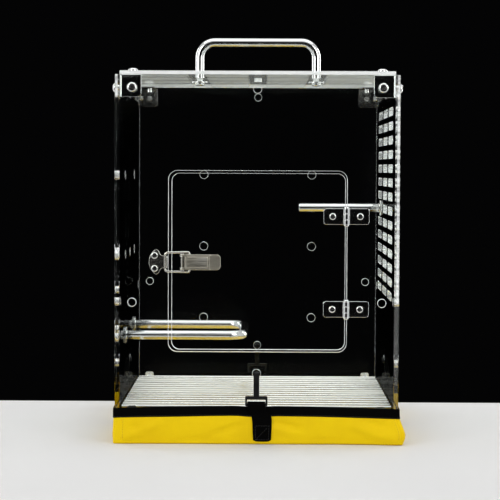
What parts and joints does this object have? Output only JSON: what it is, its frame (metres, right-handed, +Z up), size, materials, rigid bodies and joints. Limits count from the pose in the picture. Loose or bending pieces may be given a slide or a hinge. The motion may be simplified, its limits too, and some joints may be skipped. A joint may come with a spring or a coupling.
{
  "type": "acrylic bird cage",
  "caption": "Clear acrylic travel cage for small birds with a hinged door, draw latch, carry handle, steel perches, floor grille and a hooked-on fabric tray.",
  "frame": {"origin": "middle of the tray's underside, where the cage stands", "axes": "+Z up, -Y towards the door and the front hook, +X towards the hinges and the wall with the vent slots"},
  "size_m": [0.3158, 0.3158, 0.439],
  "materials": {
    "clear_acrylic": "clear cast sheet with polished edges",
    "polished_steel": "mirror-polished stainless steel",
    "fastener_steel": "bright stainless steel",
    "nickel_plate": "nickel-plated pressed steel",
    "drawn_steel": "bright drawn stainless wire",
    "yellow_fabric": "coated woven fabric",
    "black_webbing": "black woven tape",
    "black_plastic": "moulded black plastic"
  },
  "bodies": {
    "cage": {"front_panel": "clear_acrylic", "back_panel": "clear_acrylic", "left_panel": "clear_acrylic", "right_panel": "clear_acrylic", "top_panel": "clear_acrylic", "corner_bracket_front_left": "polished_steel", "corner_bracket_front_right": "polished_steel", "corner_bracket_back_right": "polished_steel", "corner_bracket_back_left": "polished_steel", "bracket_screws": "fastener_steel", "handle_screws": "fastener_steel", "perch_loop_screws": "fastener_steel", "perch_rod_screws": "fastener_steel", "hinge_screws_wall": "fastener_steel", "keeper_screws": "fastener_steel", "ledge_screws": "fastener_steel", "hinge_nuts_wall": "fastener_steel", "keeper_nuts": "fastener_steel", "handle_washers": "fastener_steel", "perch_loop_inner_washers": "fastener_steel", "perch_loop_outer_washers": "fastener_steel", "perch_rod_inner_washers": "fastener_steel", "perch_rod_outer_washers": "fastener_steel", "carry_handle": "polished_steel", "perch_loop": "polished_steel", "perch_rod": "polished_steel", "hinge_leaf_wall_upper": "polished_steel", "hinge_leaf_wall_lower": "polished_steel", "hinge_pin_upper": "polished_steel", "hinge_pin_lower": "polished_steel", "latch_keeper": "nickel_plate", "grille_ledge_front_left": "drawn_steel", "grille_ledge_front_right": "drawn_steel", "grille_ledge_back_left": "drawn_steel", "grille_ledge_back_right": "drawn_steel", "tray_fabric": "yellow_fabric", "tray_binding": "black_webbing", "strap_front": "black_webbing", "strap_right": "black_webbing", "strap_back": "black_webbing", "strap_left": "black_webbing"},
    "door": {"door_panel": "clear_acrylic", "hinge_leaf_door_upper": "polished_steel", "hinge_leaf_door_lower": "polished_steel", "hinge_screws_door": "fastener_steel", "hinge_nuts_door": "fastener_steel", "latch_base": "nickel_plate", "latch_base_screws": "fastener_steel", "latch_base_nuts": "fastener_steel", "latch_pin": "nickel_plate"},
    "latch_lever": {"latch_lever": "nickel_plate"},
    "latch_bail": {"latch_bail": "nickel_plate"},
    "floor_grille": {"floor_grille": "drawn_steel"},
    "hook_front": {"hook_front": "black_plastic"},
    "hook_right": {"hook_right": "black_plastic"},
    "hook_back": {"hook_back": "black_plastic"},
    "hook_left": {"hook_left": "black_plastic"}
  },
  "joints": [
    {"name": "door_hinge", "type": "hinge", "parent": "cage", "child": "door", "pos_m": [0.094, -0.1539, 0.193], "axis": [0, 0, 1], "range_deg": [0, 170]},
    {"name": "latch_lever_pivot", "type": "hinge", "parent": "door", "child": "latch_lever", "pos_m": [-0.0786, -0.1536, 0.193], "axis": [0, 0, -1], "range_deg": [0, 150]},
    {"name": "latch_bail_pivot", "type": "hinge", "parent": "latch_lever", "child": "latch_bail", "pos_m": [-0.0712, -0.1544, 0.193], "axis": [0, 0, 1], "range_deg": [0, 172.5]},
    {"name": "grille_lift", "type": "slide", "parent": "cage", "child": "floor_grille", "axis": [0, 0, 1], "range_m": [0, 0.03]},
    {"name": "hook_front_swing", "type": "hinge", "parent": "cage", "child": "hook_front", "pos_m": [0, -0.1542, 0.0426], "axis": [1, 0, 0], "range_deg": [0, 120]},
    {"name": "hook_right_swing", "type": "hinge", "parent": "cage", "child": "hook_right", "pos_m": [0.1542, 0, 0.0426], "axis": [0, 1, 0], "range_deg": [0, 120]},
    {"name": "hook_back_swing", "type": "hinge", "parent": "cage", "child": "hook_back", "pos_m": [0, 0.1542, 0.0426], "axis": [-1, 0, 0], "range_deg": [0, 120]},
    {"name": "hook_left_swing", "type": "hinge", "parent": "cage", "child": "hook_left", "pos_m": [-0.1542, 0, 0.0426], "axis": [0, -1, 0], "range_deg": [0, 120]}
  ],
  "couplings": [
    {"joint": "latch_bail_pivot", "follows": "latch_lever_pivot", "ratio": 1.15}
  ]
}
